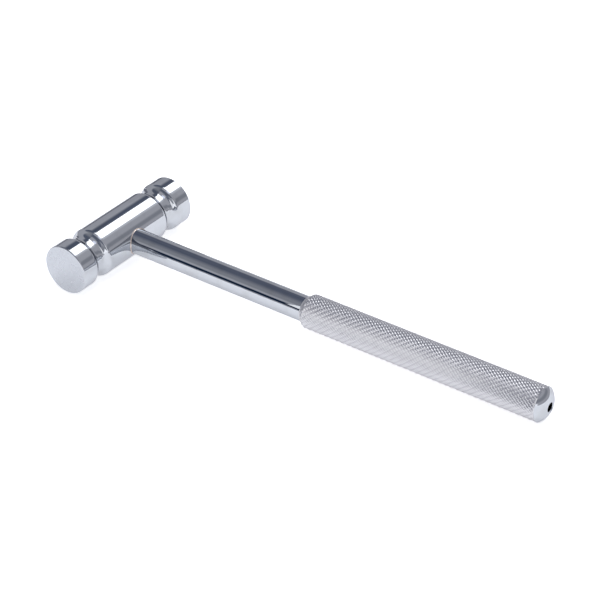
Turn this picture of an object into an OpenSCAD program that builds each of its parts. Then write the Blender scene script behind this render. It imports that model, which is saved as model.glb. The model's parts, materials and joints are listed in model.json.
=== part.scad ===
// Reflex hammer with a turned steel head, a polished shaft and a knurled grip.
// It lies as it would on a bench: +X runs along the handle to the grip's end,
// +Y along the head, +Z up. The origin is on the bench, under the middle of its box.

/* [Head] */
// Diameter of the two striking caps
cap_d = 20; // [20:0.5:24]
// Diameter of the barrel between the two grooves
barrel_d = 19.9; // [19:0.1:20]
// Length of the head from one striking face to the other
head_l = 63.4; // [60:0.2:80]
// Length of the cylindrical stretch of the barrel
barrel_l = 32; // [26:0.5:36]
// Diameter at the bottom of each groove
neck_d = 16.4; // [14:0.1:17]
// Length of the straight bottom of each groove
neck_l = 1.4; // [0.6:0.1:3]
// Radius that rounds the lip of each groove
lip_r = 1.8; // [0.6:0.1:2.4]
// Steepness of the groove's flanks, in degrees
flank_angle = 50; // [35:1:55]
// Radius that rounds the edge of each striking face
face_edge_r = 0.5; // [0.2:0.1:1]

/* [Cap fixing] */
// Diameter of the threaded spigot behind each cap
spigot_d = 10; // [6:0.5:11]
// Length of that spigot
spigot_l = 7; // [5:0.5:9]
// Empty depth left at the bottom of each tapped bore
bore_relief = 1; // [0.5:0.25:1.5]

/* [Shaft] */
// Diameter of the shaft
shaft_d = 10; // [8:0.5:10]
// Wall thickness of the shaft's tube
shaft_wall = 1.5; // [1:0.25:2]
// Depth of the shaft's socket, from the barrel's outer surface
socket_depth = 4; // [2.5:0.25:5]
// How far the stud reaches past the socket's floor into the barrel
stud_bite = 5; // [3:0.25:6]
// How far the stud reaches up the tube
stud_reach = 16; // [8:1:30]
// Height and width of the bead of braze around the shaft
braze_w = 0.3; // [0.2:0.05:0.6]

/* [Grip] */
// Distance from the head's axis to the front end of the grip
grip_x = 90.9; // [70:0.5:110]
// Length of the knurled grip sleeve
grip_l = 101.9; // [80:0.5:120]
// Outer diameter of the grip sleeve
grip_d = 13.4; // [13:0.1:16]
// Length of the cone that leads into the grip
lead_l = 2; // [0.5:0.1:4]
// Radial height of that cone
lead_h = 1.4; // [0.4:0.1:1.5]

/* [End plug] */
// Height of the plug's domed end
dome_h = 3.1; // [2:0.1:5]
// Length of the plug's stem inside the tube
stem_l = 14; // [12:1:30]
// Diameter of the hole in the end
hole_d = 3.4; // [2.5:0.1:4]
// Depth of that hole below the top of the dome
hole_l = 12; // [8:0.5:14]
// Width of the chamfer around the hole
hole_chamfer = 0.4; // [0.2:0.1:0.6]

/* [Hidden] */
$fn = 96;
eps = 0.01;
cap_r = cap_d / 2;
barrel_r = barrel_d / 2;
neck_r = neck_d / 2;
shaft_r = shaft_d / 2;
tube_r = shaft_r - shaft_wall;
grip_r = grip_d / 2;
half_head = head_l / 2;
arc_steps = 8;

// Where the groove runs: its middle, and the seam between barrel and cap
barrel_end = barrel_l / 2;
flank_l = flank_run(barrel_r);
seam_y = barrel_end + flank_l + neck_l;
cap_start = seam_y + flank_run(cap_r);

// Where the handle's pieces meet, along the handle
socket_x = barrel_r - socket_depth;
grip_end = grip_x + grip_l;
dome_r = (grip_r * grip_r + dome_h * dome_h) / (2 * dome_h);
dome_x = grip_end + dome_h - dome_r;
rim_r = hole_d / 2 + hole_chamfer;
rim_x = dome_x + sqrt(dome_r * dome_r - rim_r * rim_r);

// How the hammer lies: on the rims of its caps and on the end of its grip
lie_angle = asin(cap_r / norm([grip_end, grip_r])) - atan(grip_r / grip_end);
tip_x = rim_x * cos(lie_angle) + rim_r * sin(lie_angle);
middle_x = (tip_x - cap_r) / 2;

// Radius of the fillet at the groove's bottom, below a lip on radius r
function fillet_r(r) = (r - neck_r) / (1 - cos(flank_angle)) - lip_r;

// Axial run of one flank of the groove, from its lip on radius r to its bottom
function flank_run(r) = (lip_r + fillet_r(r)) * sin(flank_angle);

// Outline of one flank as [radius, distance from the start of the lip]
function flank(r) = concat(
    [for (i = [0 : arc_steps]) let (a = flank_angle * i / arc_steps)
        [r - lip_r * (1 - cos(a)), lip_r * sin(a)]],
    [for (i = [arc_steps - 1 : -1 : 0]) let (a = flank_angle * i / arc_steps)
        [neck_r + fillet_r(r) * (1 - cos(a)), flank_run(r) - fillet_r(r) * sin(a)]]
);

// Puts a piece drawn on the hammer's own axes down on the bench
module laid_down() {
    translate([-middle_x, 0, cap_r])
        rotate([0, lie_angle, 0])
            children();
}

// Turns an outline of [radius, distance] about the head's axis
module turned_on_head(points) {
    rotate([-90, 0, 0])
        rotate_extrude()
            polygon(points);
}

// Turns an outline of [radius, distance] about the handle's axis
module turned_on_handle(points) {
    rotate([0, 90, 0])
        rotate_extrude()
            polygon(points);
}

// A round bar or bore along the handle, from x0 to x1
module along_handle(r, x0, x1) {
    translate([x0, 0, 0])
        rotate([0, 90, 0])
            cylinder(r = r, h = x1 - x0);
}

// The barrel's outline from its middle to the seam with a cap
module head_barrel() {
    half = concat([for (p = flank(barrel_r)) [p[0], barrel_end + p[1]]], [[neck_r, seam_y]]);
    outline = concat([[0, seam_y]], [for (i = [len(half) - 1 : -1 : 0]) half[i]],
                     [for (p = half) [p[0], -p[1]]], [[0, -seam_y]]);
    bore_l = spigot_l + bore_relief;
    color("gainsboro") laid_down() difference() {
        turned_on_head(outline);
        for (side = [-1, 1])
            rotate([-90 * side, 0, 0])
                translate([0, 0, seam_y - bore_l])
                    cylinder(d = spigot_d, h = bore_l + eps);
        along_handle(shaft_r, socket_x, 2 * barrel_r);
        along_handle(tube_r, socket_x - stud_bite, socket_x + eps);
    }
}

// A striking cap with its spigot, drawn on the +Y end of the head
module striking_cap() {
    body = [for (i = [2 * arc_steps : -1 : 0]) let (p = flank(cap_r)[i])
        [p[0], seam_y + flank_run(cap_r) - p[1]]];
    edge = [for (i = [0 : arc_steps]) let (a = 90 * i / arc_steps)
        [cap_r - face_edge_r * (1 - cos(a)), half_head - face_edge_r * (1 - sin(a))]];
    turned_on_head(concat([[spigot_d / 2, seam_y]], body, edge, [[0, half_head]],
                          [[0, seam_y - spigot_l], [spigot_d / 2, seam_y - spigot_l]]));
}

module striking_cap_front() {
    color("silver") laid_down() rotate([0, 0, 180]) striking_cap();
}

module striking_cap_rear() {
    color("silver") laid_down() striking_cap();
}

module shaft_tube() {
    color("silver") laid_down() difference() {
        along_handle(shaft_r, socket_x, grip_end);
        along_handle(tube_r, socket_x - eps, grip_end + eps);
    }
}

module shaft_stud() {
    color("dimgray") laid_down()
        along_handle(tube_r, socket_x - stud_bite, socket_x + stud_reach);
}

// The bead of braze is a saddle: a ring on the shaft, cut to the barrel's curve
module braze_ring() {
    color("rosybrown") laid_down() difference() {
        intersection() {
            along_handle(shaft_r + braze_w, 0, 2 * barrel_r);
            rotate([90, 0, 0])
                cylinder(r = barrel_r + braze_w, h = 2 * cap_r, center = true);
        }
        along_handle(shaft_r, -eps, 2 * cap_r);
        rotate([90, 0, 0])
            cylinder(r = barrel_r, h = 3 * cap_r, center = true);
    }
}

module grip_sleeve() {
    color("lightgray") laid_down()
        turned_on_handle([[shaft_r, grip_x], [grip_r - lead_h, grip_x],
                          [grip_r, grip_x + lead_l], [grip_r, grip_end],
                          [shaft_r, grip_end]]);
}

module end_plug() {
    dome_angle = asin(grip_r / dome_r);
    dome = [for (i = [arc_steps * 2 : -1 : 0]) let (a = dome_angle * i / (arc_steps * 2))
        [dome_r * sin(a), dome_x + dome_r * cos(a)]];
    color("silver") laid_down() difference() {
        turned_on_handle(concat([[0, grip_end - stem_l], [tube_r, grip_end - stem_l],
                                 [tube_r, grip_end]], dome));
        along_handle(hole_d / 2, grip_end + dome_h - hole_l, grip_end + dome_h + eps);
        translate([rim_x - hole_chamfer, 0, 0])
            rotate([0, 90, 0])
                cylinder(r1 = hole_d / 2, r2 = rim_r + dome_h, h = hole_chamfer + dome_h);
    }
}

head_barrel();
striking_cap_front();
striking_cap_rear();
shaft_tube();
shaft_stud();
braze_ring();
grip_sleeve();
end_plug();
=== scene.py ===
"""Looks of the reflex hammer: turned, polished metal and a knurled grip around the CAD frame.

Pieces are drawn on the hammer's own axes, in metres: the origin is where the head's axis
crosses the handle's, +X runs along the handle and +Y along the head. LAID then puts them
down where the CAD part lies.
"""

import json
import math

import bmesh
import bpy
from mathutils import Matrix, Vector


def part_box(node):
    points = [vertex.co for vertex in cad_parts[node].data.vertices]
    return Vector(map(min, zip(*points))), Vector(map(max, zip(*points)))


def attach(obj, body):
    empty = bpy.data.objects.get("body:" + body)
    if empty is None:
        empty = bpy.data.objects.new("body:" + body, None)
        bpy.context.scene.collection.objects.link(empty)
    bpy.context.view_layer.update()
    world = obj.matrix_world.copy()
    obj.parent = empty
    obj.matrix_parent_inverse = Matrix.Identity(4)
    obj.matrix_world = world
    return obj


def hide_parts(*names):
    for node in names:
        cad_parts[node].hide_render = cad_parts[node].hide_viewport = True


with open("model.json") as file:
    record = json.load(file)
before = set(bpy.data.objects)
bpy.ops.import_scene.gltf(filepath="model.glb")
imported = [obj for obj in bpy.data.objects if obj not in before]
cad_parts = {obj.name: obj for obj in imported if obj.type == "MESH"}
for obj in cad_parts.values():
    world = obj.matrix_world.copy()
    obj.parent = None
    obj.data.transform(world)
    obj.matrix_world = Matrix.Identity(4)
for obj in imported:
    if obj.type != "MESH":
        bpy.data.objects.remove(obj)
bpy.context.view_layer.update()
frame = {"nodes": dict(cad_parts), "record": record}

MM = 0.001
TAU = 2 * math.pi

# ---------------------------------------------------------------- sizes from the frame

mounts = {mount["name"]: mount for mount in frame["record"]["mounts"]}
HANDLE = Vector(mounts["end_hole"]["axis"]).normalized()
HEAD_CENTRE = Vector(mounts["rear_face"]["pos_m"]) * Vector((1, 0, 1))
LIE = math.atan2(-HANDLE.z, HANDLE.x)
LAID = Matrix.Translation(HEAD_CENTRE) @ Matrix.Rotation(LIE, 4, "Y")

CAP_R = HEAD_CENTRE.z
HALF_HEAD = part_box("striking_cap_rear")[1][1]
SEAM_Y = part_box("head_barrel")[1][1]
HOLE_R = mounts["end_hole"]["dims"]["r_mm"] * MM
HOLE_L = mounts["end_hole"]["dims"]["length_mm"] * MM
HOLE_X = (LAID.inverted() @ Vector(mounts["end_hole"]["pos_m"])).x

# ---------------------------------------------------------------- sizes shared with the CAD

BARREL_R = 9.95 * MM
BARREL_END = 16 * MM
NECK_R = 8.2 * MM
LIP_R = 1.8 * MM
FLANK_ANGLE = math.radians(50)
FACE_EDGE_R = 0.5 * MM
SPIGOT_R = 5 * MM
SPIGOT_L = 7 * MM
BORE_L = 8 * MM
SHAFT_R = 5 * MM
TUBE_R = 3.5 * MM
GRIP_X = 90.9 * MM
GRIP_END = 192.8 * MM
GRIP_R = 6.7 * MM
LEAD_L = 2 * MM
LEAD_H = 1.4 * MM
DOME_H = 3.1 * MM
STEM_L = 14 * MM
HOLE_RIM = 0.4 * MM
BEAD = 0.3 * MM

# ---------------------------------------------------------------- finer than the CAD

SEGMENTS = 192
HAIRLINE = 0.05 * MM
SEAM = 0.015 * MM
SUPPORT = 0.12 * MM
FILLET_STEPS = 14
EDGE_STEPS = 10
RIM_STEPS = 8
DOME_STEPS = 24
BEAD_STEPS = 5
BEAD_HOLLOW = 0.9
SHAFT_STATIONS = [0, 0.002, 0.02, 0.25, 0.5, 0.75, 1]

# The two sets of grooves that cut the knurl: starts around the grip, and turns of
# phase per millimetre along it
KNURL_STARTS = (-33, 18)
KNURL_ALONG = (0.595 / MM, 0.40 / MM)
KNURL_DEPTH = (0.25 * MM, 0.235 * MM)
KNURL_STEPS = (0, 0.2, 0.5, 0.8)
# How steep a groove's sides are: above 1, a groove is narrower than its pitch and leaves a crest
KNURL_STEEP = 1.3
KNURL_FADE_FRONT = 0.8 * MM
KNURL_FADE_END = 0.5 * MM
KNURL_SPARE = 3 * MM
ROUNDING = 1e-9
TRIM_MERGE = 1e-7


def arc(centre, radius, start, end, steps):
    """Points of an arc as (radius, distance) pairs; angles in radians from outwards."""
    turns = [start + (end - start) * i / steps for i in range(steps + 1)]
    return [(centre[0] + radius * math.cos(a), centre[1] + radius * math.sin(a)) for a in turns]


def flank(lip):
    """One side of a groove, from its lip at radius lip down to the groove's bottom."""
    fillet = (lip - NECK_R) / (1 - math.cos(FLANK_ANGLE)) - LIP_R
    run = (LIP_R + fillet) * math.sin(FLANK_ANGLE)
    top = arc((lip - LIP_R, 0), LIP_R, 0, FLANK_ANGLE, FILLET_STEPS)
    bottom = arc((NECK_R + fillet, run), fillet, math.pi + FLANK_ANGLE, math.pi, FILLET_STEPS)
    return top + bottom[1:]


def supported(outline):
    """The outline with a close pair of points at both ends of each long straight run."""
    out = [outline[0]]
    for (r0, d0), (r1, d1) in zip(outline, outline[1:]):
        length = math.hypot(r1 - r0, d1 - d0)
        if length > 6 * SUPPORT:
            for t in (SUPPORT / length, 0.5, 1 - SUPPORT / length):
                out.append((r0 + (r1 - r0) * t, d0 + (d1 - d0) * t))
        out.append((r1, d1))
    return out


def placed(name, mesh_builder, materials):
    """An object on the hammer's axes, laid down and riding on the part's one body."""
    mesh = bpy.data.meshes.new(name)
    bmesh.ops.recalc_face_normals(mesh_builder, faces=mesh_builder.faces)
    mesh_builder.to_mesh(mesh)
    mesh_builder.free()
    for material in materials:
        mesh.materials.append(material)
    piece = bpy.data.objects.new(name, mesh)
    piece.matrix_world = LAID
    bpy.context.scene.collection.objects.link(piece)
    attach(piece, "root")
    return piece


def smooth(piece, angle=35):
    """Smooth shading that keeps edges sharper than angle degrees."""
    piece.data.shade_smooth()
    piece.data.set_sharp_from_angle(angle=math.radians(angle))


def turned(name, outline, along, materials):
    """A solid of revolution from (radius, distance) pairs that start and end on the axis."""
    bm = bmesh.new()
    rings = []
    for radius, distance in supported(outline):
        count = SEGMENTS if radius > 0 else 1
        ring = []
        for i in range(count):
            a = TAU * i / SEGMENTS
            side, up = radius * math.cos(a), radius * math.sin(a)
            ring.append(bm.verts.new((side, distance, up) if along == "Y" else (distance, side, up)))
        rings.append(ring)
    for near, far in zip(rings, rings[1:]):
        for i in range(SEGMENTS):
            corners = [near[i % len(near)], near[(i + 1) % len(near)],
                       far[(i + 1) % len(far)], far[i % len(far)]]
            bm.faces.new(list(dict.fromkeys(corners)))
    piece = placed(name, bm, materials)
    smooth(piece)
    return piece


# ---------------------------------------------------------------- material nodes


class Nodes:
    """Short names for the shader nodes that the materials and the world use."""

    def __init__(self, owner):
        owner.use_nodes = True
        self.tree = owner.node_tree
        self.tree.nodes.clear()

    def add(self, kind, settings=None, **inputs):
        node = self.tree.nodes.new(kind)
        for key, value in (settings or {}).items():
            setattr(node, key, value)
        for key, value in inputs.items():
            self.plug(node.inputs[key.replace("_", " ")], value)
        return node

    def plug(self, socket, value):
        if isinstance(value, bpy.types.NodeSocket):
            self.tree.links.new(value, socket)
        else:
            socket.default_value = value

    def math(self, operation, *values):
        node = self.add("ShaderNodeMath", {"operation": operation})
        for socket, value in zip(node.inputs, values):
            self.plug(socket, value)
        return node.outputs[0]

    def ramp(self, value, low, high, to_low=0.0, to_high=1.0):
        """value mapped smoothly from low..high to to_low..to_high."""
        node = self.add("ShaderNodeMapRange", {"interpolation_type": "SMOOTHSTEP"})
        for socket, v in zip(node.inputs, (value, low, high, to_low, to_high)):
            self.plug(socket, v)
        return node.outputs[0]

    def band(self, value, low, high, soft):
        """1 between low and high, 0 outside, with edges soft wide."""
        rise = self.ramp(value, low - soft, low + soft)
        fall = self.ramp(value, high - soft, high + soft, 1.0, 0.0)
        return self.math("MULTIPLY", rise, fall)

    def mix(self, factor, a, b):
        node = self.add("ShaderNodeMix", {"data_type": "RGBA"})
        self.plug(node.inputs["Factor"], factor)
        self.plug(node.inputs[6], a)
        self.plug(node.inputs[7], b)
        return node.outputs[2]

    def noise(self, scale, stretch=(1, 1, 1), detail=3.0, roughness=0.5):
        """Noise on the piece's own axes; stretch multiplies the scale along X, Y and Z."""
        where = self.add("ShaderNodeTexCoord").outputs["Object"]
        mapping = self.add("ShaderNodeMapping", Vector=where)
        mapping.inputs["Scale"].default_value = stretch
        node = self.add("ShaderNodeTexNoise", Vector=mapping.outputs[0], Scale=scale,
                        Detail=detail, Roughness=roughness)
        return node.outputs["Fac"]

    def bump(self, height, distance, normal=None):
        node = self.add("ShaderNodeBump", Height=height)
        node.inputs["Strength"].default_value = 1.0
        node.inputs["Distance"].default_value = distance
        if normal is not None:
            self.plug(node.inputs["Normal"], normal)
        return node.outputs[0]

    def metal(self, colour, roughness, normal):
        """A metallic surface into the material's output."""
        shader = self.add("ShaderNodeBsdfPrincipled", Base_Color=colour, Roughness=roughness,
                          Normal=normal)
        shader.inputs["Metallic"].default_value = 1.0
        shader.inputs["Specular Tint"].default_value = EDGE_TINT
        output = self.add("ShaderNodeOutputMaterial")
        self.tree.links.new(shader.outputs[0], output.inputs["Surface"])


STEEL = (0.50, 0.52, 0.555, 1)
STEEL_SMUDGED = (0.46, 0.475, 0.50, 1)
STEEL_GRAIN = (0.47, 0.49, 0.53, 1)
EDGE_TINT = (0.72, 0.72, 0.74, 1)
CREST = (0.61, 0.61, 0.63, 1)
# Groove colour of the knurl: a painted shade that darkens the grooves, mixed with grime
GROOVE_SHADE_AND_GRIME = (0.45, 0.44, 0.48, 1)
BRAZE = (0.60, 0.52, 0.48, 1)
BRAZE_DARK = (0.40, 0.34, 0.31, 1)
TURNED = (0.36, 0.37, 0.39, 1)
TURNED_DARK = (0.24, 0.25, 0.27, 1)
LATHE_FEED = 0.18 * MM


def polished_steel(name, streaks, streak_depth, wave_depth):
    """Mirror polish: faint smudges, and fine lines that run the way it was buffed."""
    material = bpy.data.materials.new(name)
    n = Nodes(material)
    smudges = n.noise(160, detail=4)
    lines = n.noise(900, streaks, detail=5, roughness=0.65)
    waves = n.noise(140, detail=1)
    colour = n.mix(n.ramp(smudges, 0.45, 0.75), STEEL, STEEL_SMUDGED)
    shine = n.math("ADD", n.ramp(smudges, 0.4, 0.8, 0.03, 0.065), n.ramp(lines, 0.45, 0.8, 0.0, 0.04))
    normal = n.bump(lines, streak_depth, n.bump(waves, wave_depth))
    n.metal(colour, shine, normal)
    return material


def satin_face():
    """The striking face: faced on a lathe and rubbed satin, with rings and small dents."""
    material = bpy.data.materials.new("satin_striking_face")
    n = Nodes(material)
    where = n.add("ShaderNodeSeparateXYZ", Vector=n.add("ShaderNodeTexCoord").outputs["Object"])
    radius = n.math("SQRT", n.math("ADD", n.math("MULTIPLY", where.outputs[0], where.outputs[0]),
                                   n.math("MULTIPLY", where.outputs[2], where.outputs[2])))
    rings = n.math("SINE", n.math("MULTIPLY", radius, TAU / LATHE_FEED))
    grain = n.noise(2500, detail=3)
    dents = n.noise(420, detail=2)
    colour = n.mix(n.ramp(grain, 0.3, 0.7), STEEL, STEEL_GRAIN)
    shine = n.ramp(n.noise(220), 0.3, 0.7, 0.2, 0.3)
    normal = n.bump(rings, 0.0006 * MM, n.bump(dents, 0.0015 * MM, n.bump(grain, 0.0008 * MM)))
    n.metal(colour, shine, normal)
    return material


def knurl_plating():
    """Plated knurl: bright worn crests; duller in the grooves, and darker there from a painted shade
    mixed with patchy grime.
    """
    material = bpy.data.materials.new("knurl_plating")
    n = Nodes(material)
    depth = n.add("ShaderNodeAttribute", {"attribute_name": "groove"}).outputs["Fac"]
    patches = n.noise(260, detail=4)
    # Painted shade: the colour darkens with groove depth, in noise patches, standing in for both
    # shade and grime in the grooves
    groove_shade_and_grime = n.math("MULTIPLY", n.ramp(depth, 0.55, 1.0), n.ramp(patches, 0.25, 0.65, 0.55, 1.0))
    colour = n.mix(groove_shade_and_grime, CREST, GROOVE_SHADE_AND_GRIME)
    shine = n.math("ADD", n.ramp(depth, 0.1, 0.9, 0.29, 0.38), n.ramp(patches, 0.4, 0.8, 0.0, 0.1))
    normal = n.bump(n.noise(3800, detail=3), 0.01 * MM)
    n.metal(colour, shine, normal)
    return material


def braze_metal():
    """The seam of braze: dull, brownish and a little lumpy."""
    material = bpy.data.materials.new("braze_seam")
    n = Nodes(material)
    lumps = n.noise(1500, detail=4)
    colour = n.mix(n.ramp(lumps, 0.35, 0.7), BRAZE, BRAZE_DARK)
    n.metal(colour, n.ramp(lumps, 0.3, 0.7, 0.28, 0.5), n.bump(lumps, 0.08 * MM))
    return material


def turned_steel():
    """Plain turned steel, for the stud that nothing shows."""
    material = bpy.data.materials.new("plain_turned_steel")
    n = Nodes(material)
    lines = n.noise(600, (8, 1, 1), detail=4)
    colour = n.mix(lines, TURNED, TURNED_DARK)
    n.metal(colour, n.ramp(lines, 0.3, 0.7, 0.3, 0.5), n.bump(lines, 0.02 * MM))
    return material


# ---------------------------------------------------------------- the head


def head_barrel(material):
    """The barrel with its two half-grooves and the bores that take the caps' spigots."""
    floor_y = SEAM_Y - BORE_L
    inside = [(0, floor_y), (SPIGOT_R, floor_y), (SPIGOT_R, SEAM_Y)]
    lip = [(r, BARREL_END + d) for r, d in flank(BARREL_R)]
    outside = [(NECK_R - SEAM, SEAM_Y), (NECK_R, SEAM_Y - SEAM)] + lip[::-1]
    half = inside + outside
    outline = half + [(r, -d) for r, d in half[::-1]]
    piece = turned("head_barrel_turned", outline, "Y", [material])
    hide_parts("head_barrel")


def striking_cap(name, node, side, steel, satin):
    """A striking cap, side -1 at the front and 1 at the rear, with a satin face."""
    spigot = [(0, SEAM_Y - SPIGOT_L), (SPIGOT_R - HAIRLINE, SEAM_Y - SPIGOT_L),
              (SPIGOT_R - HAIRLINE, SEAM_Y)]
    lip = flank(CAP_R)
    start = SEAM_Y + lip[-1][1]
    body = [(NECK_R - SEAM, SEAM_Y), (NECK_R, SEAM_Y + SEAM)]
    body += [(r, start - d) for r, d in lip[::-1][1:]]
    corner = (CAP_R - FACE_EDGE_R, HALF_HEAD - FACE_EDGE_R)
    edge = arc(corner, FACE_EDGE_R, 0, math.pi / 2, EDGE_STEPS)
    outline = [(r, side * d) for r, d in spigot + body + edge + [(0, HALF_HEAD)]]
    piece = turned(name, outline, "Y", [steel, satin])
    for face in piece.data.polygons:
        on_face = abs(face.center.y) > HALF_HEAD - HAIRLINE
        flat = Vector((face.center.x, face.center.z)).length < CAP_R - FACE_EDGE_R
        face.material_index = 1 if on_face and flat else 0
    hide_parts(node)


# ---------------------------------------------------------------- the handle


def saddle_x(radius, angle):
    """Where a line parallel to the handle, at that radius and angle, meets the barrel."""
    return math.sqrt(BARREL_R ** 2 - (radius * math.sin(angle)) ** 2)


def shaft(material):
    """The tube from the barrel's curved surface to the end of the grip."""
    bm = bmesh.new()
    rings = []
    for radius, order in ((SHAFT_R, SHAFT_STATIONS), (TUBE_R, SHAFT_STATIONS[::-1])):
        for t in order:
            ring = []
            for i in range(SEGMENTS):
                a = TAU * i / SEGMENTS
                start = saddle_x(radius, a)
                x = start + (GRIP_END - start) * t
                ring.append(bm.verts.new((x, radius * math.cos(a), radius * math.sin(a))))
            rings.append(ring)
    for near, far in zip(rings, rings[1:] + rings[:1]):
        for i in range(SEGMENTS):
            j = (i + 1) % SEGMENTS
            bm.faces.new((near[i], near[j], far[j], far[i]))
    piece = placed("shaft_polished", bm, [material])
    smooth(piece)
    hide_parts("shaft_tube")


def braze_bead(material):
    """A thin fillet of braze that follows the saddle between shaft and barrel."""
    bm = bmesh.new()
    rings = []
    for i in range(SEGMENTS):
        a = TAU * i / SEGMENTS
        wide = SHAFT_R + BEAD
        corner = Vector((saddle_x(SHAFT_R, a), SHAFT_R))
        on_barrel = Vector((saddle_x(wide, a), wide))
        on_shaft = corner + Vector((BEAD, 0))
        ring = [corner - Vector((HAIRLINE, 0))]
        for k in range(BEAD_STEPS + 1):
            t = k / BEAD_STEPS
            straight = on_barrel.lerp(on_shaft, t)
            ring.append(straight.lerp(corner, BEAD_HOLLOW * t * (1 - t)))
        rings.append([bm.verts.new((x, r * math.cos(a), r * math.sin(a))) for x, r in ring])
    for near, far in zip(rings, rings[1:] + rings[:1]):
        for k in range(len(near)):
            m = (k + 1) % len(near)
            bm.faces.new((near[k], near[m], far[m], far[k]))
    piece = placed("braze_bead", bm, [material])
    smooth(piece, 60)
    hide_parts("braze_ring")


def groove_depth(x, angle):
    """How deep the knurl is cut there: 0 on a crest, 1 at the bottom of a groove."""
    cuts = []
    for starts, along, depth in zip(KNURL_STARTS, KNURL_ALONG, KNURL_DEPTH):
        phase = (along * x + starts * angle / TAU) % 1
        cuts.append(depth * (1 - min(1.0, KNURL_STEEP * (1 - abs(2 * phase - 1)))))
    return max(cuts) / max(KNURL_DEPTH)


def knurl_envelope(x):
    """(radius of the crests, share of the full depth) at x along the grip."""
    lead = min(1.0, (x - GRIP_X) / LEAD_L)
    radius = GRIP_R - LEAD_H * (1 - lead)
    fade = min(1.0, (x - GRIP_X) / KNURL_FADE_FRONT, (GRIP_END - x) / KNURL_FADE_END)
    return radius, max(0.0, fade)


def knurl_lattice():
    """A cylinder of quads whose edges follow both sets of grooves, longer than the grip."""
    bm = bmesh.new()
    steps = len(KNURL_STEPS)
    starts_a, starts_b = KNURL_STARTS
    along_a, along_b = KNURL_ALONG
    determinant = along_a * starts_b - along_b * starts_a

    def phase(index):
        return index // steps + KNURL_STEPS[index % steps]

    def place(i, j):
        x = (starts_b * phase(i) - starts_a * phase(j)) / determinant
        turn = (along_a * phase(j) - along_b * phase(i)) / determinant
        return x, turn

    verts = {}

    def vert(i, j):
        x, turn = place(i, j)
        wraps = math.floor(turn + ROUNDING)
        key = (i - wraps * starts_a * steps, j - wraps * starts_b * steps)
        if key not in verts:
            a = TAU * (turn - wraps)
            verts[key] = bm.verts.new((x, GRIP_R * math.cos(a), GRIP_R * math.sin(a)))
        return verts[key]

    low, high = GRIP_X - KNURL_SPARE, GRIP_END + KNURL_SPARE
    corners = [(along_a * x + starts_a * t, along_b * x + starts_b * t)
               for x in (low, high) for t in (0, 1)]
    spans = [range(math.floor(min(phases)) * steps, math.ceil(max(phases)) * steps)
             for phases in zip(*corners)]
    for i in spans[0]:
        for j in spans[1]:
            x, turn = place(i, j)
            if low < x < high and -ROUNDING <= turn < 1 - ROUNDING:
                bm.faces.new((vert(i, j), vert(i + 1, j), vert(i + 1, j + 1), vert(i, j + 1)))
    return bm


def grip(material):
    """The knurled sleeve: the lattice trimmed to length, cut to depth and closed to a tube."""
    bm = knurl_lattice()
    for x, direction in ((GRIP_X, -1), (GRIP_END, 1)):
        everything = bm.verts[:] + bm.edges[:] + bm.faces[:]
        bmesh.ops.bisect_plane(bm, geom=everything, dist=TRIM_MERGE,
                               plane_co=(x, 0, 0), plane_no=(direction, 0, 0), clear_outer=True)
    layer = bm.verts.layers.float.new("groove")
    for v in bm.verts:
        angle = math.atan2(v.co.z, v.co.y)
        radius, share = knurl_envelope(v.co.x)
        depth = groove_depth(v.co.x, angle) * share
        radius -= max(KNURL_DEPTH) * depth
        v[layer] = depth
        v.co.y, v.co.z = radius * math.cos(angle), radius * math.sin(angle)
    rims = [e for e in bm.edges if e.is_boundary]
    inner = bmesh.ops.extrude_edge_only(bm, edges=rims)["geom"]
    for v in (g for g in inner if isinstance(g, bmesh.types.BMVert)):
        angle = math.atan2(v.co.z, v.co.y)
        v.co.y, v.co.z = SHAFT_R * math.cos(angle), SHAFT_R * math.sin(angle)
    bmesh.ops.bridge_loops(bm, edges=[e for e in bm.edges if e.is_boundary])
    piece = placed("grip_knurled", bm, [material])
    smooth(piece, 30)
    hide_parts("grip_sleeve")


def end_plug(material):
    """The domed plug, with a round-lipped hole and a stem inside the tube."""
    dome_r = (GRIP_R ** 2 + DOME_H ** 2) / (2 * DOME_H)
    dome_x = GRIP_END + DOME_H - dome_r
    rim_r = HOLE_R + HOLE_RIM
    rim_angle = math.asin(rim_r / dome_r)
    edge_angle = math.asin((GRIP_R - HAIRLINE) / dome_r)
    mouth_x = dome_x + dome_r * math.cos(rim_angle) - HOLE_RIM
    bottom_x = HOLE_X - HOLE_L / 2
    hole = [(0, bottom_x), (HOLE_R, bottom_x)]
    lip = arc((rim_r, mouth_x), HOLE_RIM, math.pi, math.pi / 2, RIM_STEPS)
    dome = [(dome_r * math.sin(a), dome_x + dome_r * math.cos(a))
            for a in (rim_angle + (edge_angle - rim_angle) * i / DOME_STEPS
                      for i in range(DOME_STEPS + 1))]
    stem = [(GRIP_R - HAIRLINE, GRIP_END), (TUBE_R, GRIP_END), (TUBE_R, GRIP_END - STEM_L),
            (0, GRIP_END - STEM_L)]
    piece = turned("end_plug_domed", hole + lip + dome[1:] + stem, "X", [material])
    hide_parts("end_plug")


# ---------------------------------------------------------------- studio

FLOOR_DROP = 0.1 * MM
FLOOR_GLOW = 0.62
FLOOR_HALF = 12
FLOOR_PALE = (0.86, 0.86, 0.87, 1)
FLOOR_PALER = (0.88, 0.88, 0.885, 1)
CAMERA_AZIMUTH = math.radians(37.94)
CAMERA_ELEVATION = math.radians(33.06)
CAMERA_ROLL = math.radians(-2.09)
CAMERA_DISTANCE = 832.3 * MM
CAMERA_LENS = 134.56
CAMERA_SENSOR = 36
CAMERA_AIM = Vector((-7.86, 3.57, 8.52)) * MM

KEY_ENERGY = 0.5
KEY_SOFTNESS = math.radians(80)
KEY_TURN = (math.radians(18), math.radians(-12), 0)

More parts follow.
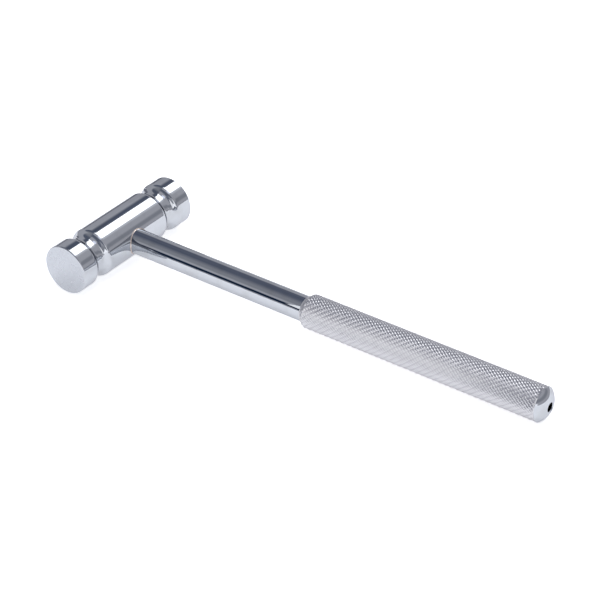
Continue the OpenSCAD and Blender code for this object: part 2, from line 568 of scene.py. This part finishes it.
# Colours of the room, as the polished metal reflects them
WALL = (0.56, 0.565, 0.61, 1)
WALL_FAR = (0.55, 0.55, 0.59, 1)
GREY = (0.34, 0.35, 0.39, 1)
PALE = (0.86, 0.87, 0.92, 1)
CEILING = (0.12, 0.14, 0.20, 1)
CORNER = (0.13, 0.15, 0.21, 1)
GAP = (0.004, 0.02, 0.055, 1)
STRIP_LIGHT = (1.7, 1.7, 1.75, 1)
TOP_LIGHT = (1.3, 1.35, 1.6, 1)
SOFT_BOX = (3.2, 3.24, 3.28, 1)
BACKDROP = (1.1, 1.1, 1.1, 1)
HORIZON = 0.02

# The cards that only reflections see: place, the way each turns, size, and its two shades
GREY_CARD_AZIMUTH = math.radians(138)
GREY_CARD_REACH = 105 * MM
GREY_CARD_HEIGHT = 12 * MM
GREY_CARD_SIZE = (130 * MM, 24 * MM)
GREY_CARD_SHADES = ((0.22, 0.23, 0.27, 1), (0.30, 0.31, 0.35, 1))
WHITE_CARD_PLACE = Vector((22, -40, 54)) * MM
WHITE_CARD_AZIMUTH = math.radians(-90)
WHITE_CARD_SIZE = (104 * MM, 62 * MM)
WHITE_CARD_SHADES = ((1.35, 1.35, 1.37, 1), (1.5, 1.5, 1.52, 1))


def floor():
    """A plain pale table, wide enough to fill every view."""
    bm = bmesh.new()
    bmesh.ops.create_grid(bm, x_segments=1, y_segments=1, size=FLOOR_HALF)
    mesh = bpy.data.meshes.new("floor")
    bm.to_mesh(mesh)
    bm.free()
    material = bpy.data.materials.new("pale_floor")
    n = Nodes(material)
    shade = n.mix(n.noise(40, detail=4), FLOOR_PALE, FLOOR_PALER)
    shader = n.add("ShaderNodeBsdfPrincipled", Base_Color=shade)
    shader.inputs["Roughness"].default_value = 0.9
    shader.inputs["Specular IOR Level"].default_value = 0.0
    shader.inputs["Emission Color"].default_value = (1, 1, 1, 1)
    shader.inputs["Emission Strength"].default_value = FLOOR_GLOW
    output = n.add("ShaderNodeOutputMaterial")
    n.tree.links.new(shader.outputs[0], output.inputs["Surface"])
    mesh.materials.append(material)
    plane = bpy.data.objects.new("floor", mesh)
    plane.location.z = -FLOOR_DROP
    bpy.context.scene.collection.objects.link(plane)


def studio_world():
    """A grey studio around the table: a long soft box overhead and a dark ceiling beside it.

    x, y and z are the direction that a reflection looks in, and each painted() lays one patch
    of the room over the last. The camera itself sees only the plain backdrop.
    """
    world = bpy.data.worlds.new("studio")
    bpy.context.scene.world = world
    n = Nodes(world)
    direction = n.add("ShaderNodeTexCoord").outputs["Generated"]
    x, y, z = n.add("ShaderNodeSeparateXYZ", Vector=direction).outputs
    cloud = n.add("ShaderNodeTexNoise", Vector=direction, Scale=5.0, Detail=3.0).outputs["Fac"]
    uneven = n.ramp(cloud, 0.3, 0.7, 0.75, 1.0)

    def painted(below, colour, *masks):
        share = masks[0]
        for mask in masks[1:]:
            share = n.math("MULTIPLY", share, mask)
        return n.mix(share, below, colour)

    left = n.ramp(x, -0.30, -0.20, 1.0, 0.0)
    wall = n.mix(n.ramp(x, 0.2, 0.8), WALL, WALL_FAR)
    shade = painted(wall, GREY, n.band(z, 0.22, 0.44, 0.06), n.ramp(x, 0.3, 0.6))
    shade = painted(shade, PALE, n.band(x, 0.20, 0.36, 0.07), n.ramp(z, 0.5, 0.65))
    shade = painted(shade, GREY, n.ramp(z, 0.50, 0.64), left)
    shade = painted(shade, CEILING, n.ramp(z, 0.52, 0.66), left, n.ramp(y, -0.45, 0.05), uneven)
    shade = painted(shade, CORNER, n.band(z, 0.50, 0.85, 0.08),
                    n.ramp(y, -0.20, -0.45), n.ramp(x, -0.45, -0.25), uneven)
    shade = painted(shade, GAP, n.band(z, 0.11, 0.38, 0.04),
                    n.ramp(y, -0.45, -0.72), n.ramp(x, 0.2, -0.1))
    shade = painted(shade, STRIP_LIGHT, n.band(z, 0.0, 0.16, 0.03),
                    n.ramp(y, -0.30, -0.50), n.ramp(x, -0.1, 0.2))
    rise = n.math("MAXIMUM", z, HORIZON)
    along_x = n.math("DIVIDE", x, rise)
    along_y = n.math("DIVIDE", y, rise)
    shade = painted(shade, TOP_LIGHT, n.band(along_x, 0.12, 0.46, 0.05),
                    n.band(along_y, -0.15, 0.24, 0.05))
    shade = painted(shade, SOFT_BOX, n.band(along_x, -0.29, 0.36, 0.015),
                    n.band(along_y, 0.35, 1.8, 0.03))
    to_camera = n.add("ShaderNodeLightPath").outputs["Is Camera Ray"]
    background = n.add("ShaderNodeBackground", Color=n.mix(to_camera, shade, BACKDROP))
    output = n.add("ShaderNodeOutputWorld")
    n.tree.links.new(background.outputs[0], output.inputs["Surface"])


def card(name, place, azimuth, size, shades):
    """An upright studio card that only reflections see."""
    bm = bmesh.new()
    bmesh.ops.create_grid(bm, x_segments=1, y_segments=1, size=0.5)
    mesh = bpy.data.meshes.new(name)
    bm.to_mesh(mesh)
    bm.free()
    material = bpy.data.materials.new(name)
    n = Nodes(material)
    glow = n.add("ShaderNodeEmission", Color=n.mix(n.noise(4), *shades))
    output = n.add("ShaderNodeOutputMaterial")
    n.tree.links.new(glow.outputs[0], output.inputs["Surface"])
    mesh.materials.append(material)
    plane = bpy.data.objects.new(name, mesh)
    away = Vector((math.cos(azimuth), math.sin(azimuth), 0))
    turn = away.to_track_quat("Z", "Y").to_matrix().to_4x4()
    plane.matrix_world = Matrix.Translation(place) @ turn @ Matrix.Diagonal((*size, 1, 1))
    plane.visible_camera = False
    plane.visible_diffuse = False
    plane.visible_shadow = False
    bpy.context.scene.collection.objects.link(plane)


def cards():
    """A low grey card behind the head and a white one beside the shaft and the grip."""
    away = Vector((math.cos(GREY_CARD_AZIMUTH), math.sin(GREY_CARD_AZIMUTH), 0))
    under_head = HEAD_CENTRE * Vector((1, 1, 0))
    behind_head = under_head + away * GREY_CARD_REACH + Vector((0, 0, GREY_CARD_HEIGHT))
    card("grey_card", behind_head, GREY_CARD_AZIMUTH, GREY_CARD_SIZE, GREY_CARD_SHADES)
    card("white_card", WHITE_CARD_PLACE, WHITE_CARD_AZIMUTH, WHITE_CARD_SIZE, WHITE_CARD_SHADES)


def soft_light():
    """A wide soft key that lights the floor and stays out of the reflections."""
    lamp = bpy.data.lights.new("soft_key", "SUN")
    lamp.energy = KEY_ENERGY
    lamp.angle = KEY_SOFTNESS
    key = bpy.data.objects.new("soft_key", lamp)
    key.rotation_euler = KEY_TURN
    key.visible_glossy = False
    bpy.context.scene.collection.objects.link(key)


def camera():
    """The photograph's viewpoint."""
    back = Vector((math.sin(CAMERA_AZIMUTH) * math.cos(CAMERA_ELEVATION),
                   -math.cos(CAMERA_AZIMUTH) * math.cos(CAMERA_ELEVATION),
                   math.sin(CAMERA_ELEVATION)))
    lens = bpy.data.cameras.new("camera")
    lens.lens = CAMERA_LENS
    lens.sensor_width = CAMERA_SENSOR
    lens.clip_start = 0.01
    eye = bpy.data.objects.new("camera", lens)
    turn = back.to_track_quat("Z", "Y").to_matrix().to_4x4()
    eye.matrix_world = (Matrix.Translation(CAMERA_AIM + back * CAMERA_DISTANCE) @ turn
                        @ Matrix.Rotation(CAMERA_ROLL, 4, "Z"))
    bpy.context.scene.collection.objects.link(eye)
    bpy.context.scene.camera = eye


bpy.context.scene.view_settings.view_transform = "Standard"
camera()
studio_world()
soft_light()
cards()
floor()

# How the buffing lines stretch along X, Y and Z, and how deep lines and waves are
head_steel = polished_steel("polished_head_steel", (1, 0.12, 1), 0.0012 * MM, 0.012 * MM)
shaft_steel = polished_steel("polished_shaft_steel", (0.03, 1, 1), 0.006 * MM, 0.04 * MM)
plug_steel = polished_steel("polished_plug_steel", (1, 0.6, 0.6), 0.001 * MM, 0.012 * MM)
face_steel = satin_face()

head_barrel(head_steel)
striking_cap("striking_cap_front_turned", "striking_cap_front", -1, head_steel, face_steel)
striking_cap("striking_cap_rear_turned", "striking_cap_rear", 1, head_steel, face_steel)
shaft(shaft_steel)
braze_bead(braze_metal())
grip(knurl_plating())
end_plug(plug_steel)

stud = frame["nodes"]["shaft_stud"]
stud.data.materials[0] = turned_steel()
